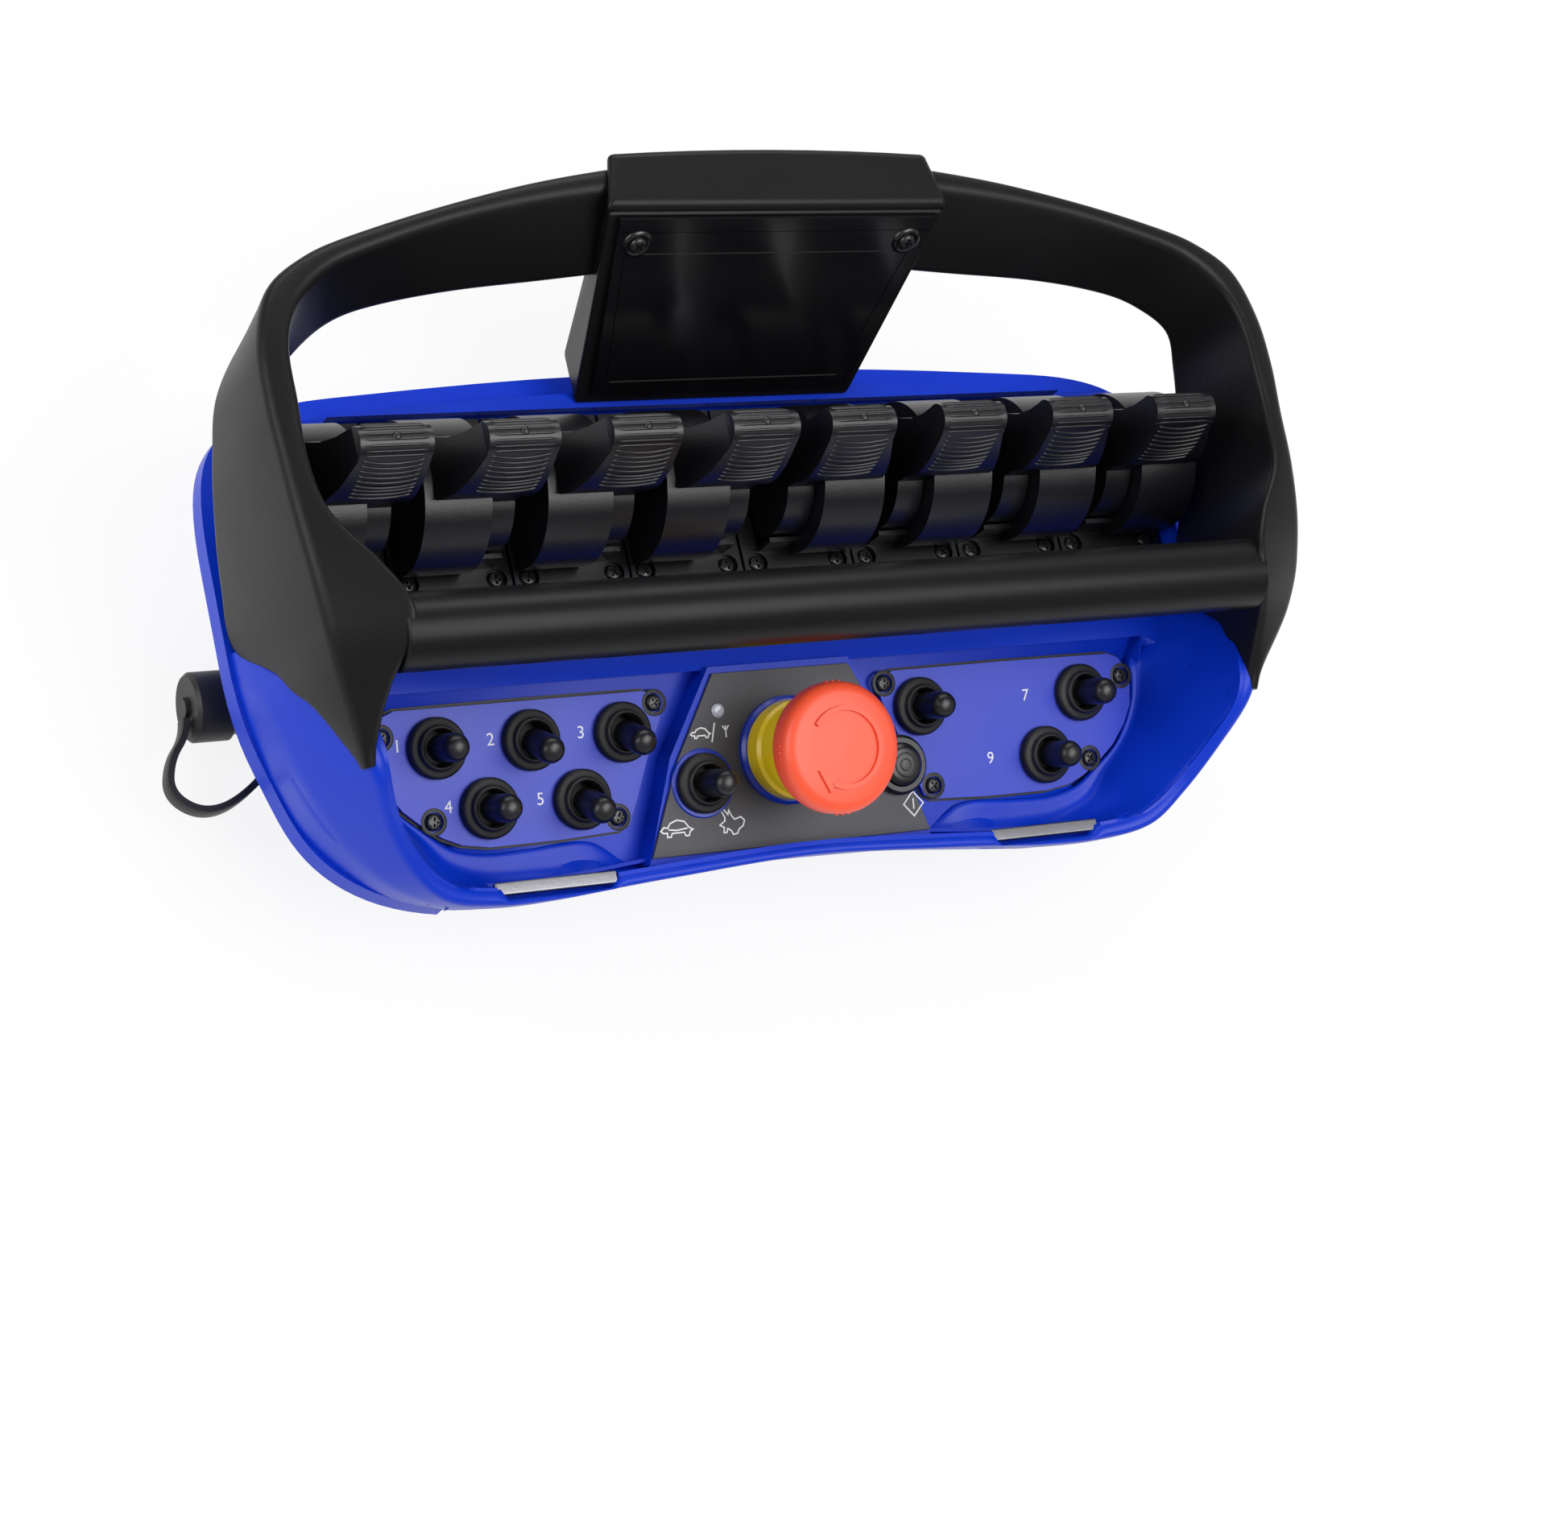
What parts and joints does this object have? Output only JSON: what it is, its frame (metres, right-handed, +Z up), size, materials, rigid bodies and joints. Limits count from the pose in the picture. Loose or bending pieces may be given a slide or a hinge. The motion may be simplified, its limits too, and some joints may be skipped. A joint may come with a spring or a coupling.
{
  "type": "crane radio remote control",
  "caption": "Belly-worn crane radio transmitter with a row of paddle levers under a guard arch, toggle switches on a sloped tray and a mushroom stop button.",
  "frame": {"origin": "middle of the flat underside, on the surface it rests on", "axes": "+X to the operator's right along the row of levers, +Y away from the operator, +Z up"},
  "size_m": [0.3612, 0.2079, 0.1276],
  "materials": {
    "housing_blue": "satin royal blue moulded plastic",
    "guard_black": "black textured satin plastic",
    "tube_black": "black anodised tube",
    "cover_gloss": "glossy black cover",
    "lever_grey": "dark grey moulded plastic",
    "plate_violet": "blue violet film on a metal plate",
    "gasket_black": "black rubber",
    "panel_grey": "dark grey speckled film",
    "boot_black": "black rubber boot",
    "steel": "bright steel",
    "stop_blue": "blue plastic ring",
    "stop_yellow": "yellow plastic",
    "stop_red": "red orange plastic",
    "button_black": "black plastic",
    "lamp": "clear lamp lens, unlit",
    "switch_inner": "black switch case",
    "board_green": "circuit board",
    "battery_grey": "battery case"
  },
  "bodies": {
    "housing": {"upper_housing": "housing_blue", "base_tub": "housing_blue", "guard_frame": "guard_black", "grab_tube": "tube_black", "post_cover": "cover_gloss", "aerial_board": "board_green", "cover_screws": "steel", "lever_screws": "steel", "switch_plate_right": "plate_violet", "switch_plate_left": "plate_violet", "gasket_right": "gasket_black", "gasket_left": "gasket_black", "plate_screws": "steel", "centre_panel": "panel_grey", "toggle_collars": "boot_black", "toggle_switches": "switch_inner", "stop_ring": "stop_blue", "stop_collar": "stop_yellow", "stop_contacts": "switch_inner", "start_bezel": "button_black", "start_switch": "switch_inner", "lamp_lens": "lamp", "strap_bar_left": "steel", "strap_bar_right": "steel", "battery": "battery_grey", "main_board": "board_green", "base_screws": "steel", "connector_socket": "button_black", "cap_strap": "gasket_black", "lever_base_1": "lever_grey", "lever_base_2": "lever_grey", "lever_base_3": "lever_grey", "lever_base_4": "lever_grey", "lever_base_5": "lever_grey", "lever_base_6": "lever_grey", "lever_base_7": "lever_grey", "lever_base_8": "lever_grey"},
    "lever_1": {"lever_1": "lever_grey"},
    "lever_2": {"lever_2": "lever_grey"},
    "lever_3": {"lever_3": "lever_grey"},
    "lever_4": {"lever_4": "lever_grey"},
    "lever_5": {"lever_5": "lever_grey"},
    "lever_6": {"lever_6": "lever_grey"},
    "lever_7": {"lever_7": "lever_grey"},
    "lever_8": {"lever_8": "lever_grey"},
    "toggle_1": {"toggle_1": "boot_black"},
    "toggle_2": {"toggle_2": "boot_black"},
    "toggle_3": {"toggle_3": "boot_black"},
    "toggle_4": {"toggle_4": "boot_black"},
    "toggle_5": {"toggle_5": "boot_black"},
    "toggle_6": {"toggle_6": "boot_black"},
    "toggle_8": {"toggle_8": "boot_black"},
    "toggle_9": {"toggle_9": "boot_black"},
    "toggle_mid": {"toggle_mid": "boot_black"},
    "stop_stem": {"stop_stem": "stop_yellow"},
    "stop_head": {"stop_head": "stop_red"},
    "start_button": {"start_button": "button_black"},
    "dust_cap": {"dust_cap": "gasket_black"}
  },
  "joints": [
    {"name": "lever_1_tilt", "type": "hinge", "parent": "housing", "child": "lever_1", "pos_m": [-0.13881, 0.019, 0.065], "axis": [1, 0, 0], "range_deg": [-25, 25], "stiffness_Nm_per_rad": 0.5},
    {"name": "lever_2_tilt", "type": "hinge", "parent": "housing", "child": "lever_2", "pos_m": [-0.09915, 0.019, 0.065], "axis": [1, 0, 0], "range_deg": [-25, 25], "stiffness_Nm_per_rad": 0.5},
    {"name": "lever_3_tilt", "type": "hinge", "parent": "housing", "child": "lever_3", "pos_m": [-0.05949, 0.019, 0.065], "axis": [1, 0, 0], "range_deg": [-25, 25], "stiffness_Nm_per_rad": 0.5},
    {"name": "lever_4_tilt", "type": "hinge", "parent": "housing", "child": "lever_4", "pos_m": [-0.01983, 0.019, 0.065], "axis": [1, 0, 0], "range_deg": [-25, 25], "stiffness_Nm_per_rad": 0.5},
    {"name": "lever_5_tilt", "type": "hinge", "parent": "housing", "child": "lever_5", "pos_m": [0.01983, 0.019, 0.065], "axis": [1, 0, 0], "range_deg": [-25, 25], "stiffness_Nm_per_rad": 0.5},
    {"name": "lever_6_tilt", "type": "hinge", "parent": "housing", "child": "lever_6", "pos_m": [0.05949, 0.019, 0.065], "axis": [1, 0, 0], "range_deg": [-25, 25], "stiffness_Nm_per_rad": 0.5},
    {"name": "lever_7_tilt", "type": "hinge", "parent": "housing", "child": "lever_7", "pos_m": [0.09915, 0.019, 0.065], "axis": [1, 0, 0], "range_deg": [-25, 25], "stiffness_Nm_per_rad": 0.5},
    {"name": "lever_8_tilt", "type": "hinge", "parent": "housing", "child": "lever_8", "pos_m": [0.13881, 0.019, 0.065], "axis": [1, 0, 0], "range_deg": [-25, 25], "stiffness_Nm_per_rad": 0.5},
    {"name": "toggle_1_tilt", "type": "hinge", "parent": "housing", "child": "toggle_1", "pos_m": [-0.11416, -0.05488, 0.0518], "axis": [1, 0, 0], "range_deg": [-13, 13]},
    {"name": "toggle_2_tilt", "type": "hinge", "parent": "housing", "child": "toggle_2", "pos_m": [-0.08354, -0.05488, 0.0518], "axis": [1, 0, 0], "range_deg": [-26, 0]},
    {"name": "toggle_3_tilt", "type": "hinge", "parent": "housing", "child": "toggle_3", "pos_m": [-0.05292, -0.05488, 0.0518], "axis": [1, 0, 0], "range_deg": [-26, 0]},
    {"name": "toggle_4_tilt", "type": "hinge", "parent": "housing", "child": "toggle_4", "pos_m": [-0.09885, -0.07323, 0.04626], "axis": [1, 0, 0], "range_deg": [-13, 13]},
    {"name": "toggle_5_tilt", "type": "hinge", "parent": "housing", "child": "toggle_5", "pos_m": [-0.06823, -0.07323, 0.04626], "axis": [1, 0, 0], "range_deg": [-26, 0]},
    {"name": "toggle_6_tilt", "type": "hinge", "parent": "housing", "child": "toggle_6", "pos_m": [0.05292, -0.05488, 0.0518], "axis": [1, 0, 0], "range_deg": [-13, 13]},
    {"name": "toggle_8_tilt", "type": "hinge", "parent": "housing", "child": "toggle_8", "pos_m": [0.11416, -0.05488, 0.0518], "axis": [1, 0, 0], "range_deg": [-13, 13]},
    {"name": "toggle_9_tilt", "type": "hinge", "parent": "housing", "child": "toggle_9", "pos_m": [0.09885, -0.07323, 0.04626], "axis": [1, 0, 0], "range_deg": [-13, 13]},
    {"name": "toggle_mid_tilt", "type": "hinge", "parent": "housing", "child": "toggle_mid", "pos_m": [-0.0303, -0.07392, 0.05388], "axis": [1, 0, 0], "range_deg": [-13, 13]},
    {"name": "stop_press", "type": "slide", "parent": "housing", "child": "stop_stem", "axis": [0, 0.289, -0.9573], "range_m": [0, 0.0045]},
    {"name": "stop_twist", "type": "hinge", "parent": "stop_stem", "child": "stop_head", "pos_m": [0, -0.0744, 0.08246], "axis": [0, 0.289, -0.9573], "range_deg": [0, 45], "stiffness_Nm_per_rad": 0.5},
    {"name": "start_press", "type": "slide", "parent": "housing", "child": "start_button", "axis": [0, 0.289, -0.9573], "range_m": [0, 0.002], "stiffness_N_per_m": 1500},
    {"name": "cap_turn", "type": "hinge", "parent": "housing", "child": "dust_cap", "pos_m": [-0.165, -0.026, 0.018], "axis": [1, 0, 0], "range_deg": [-90, 0]}
  ]
}
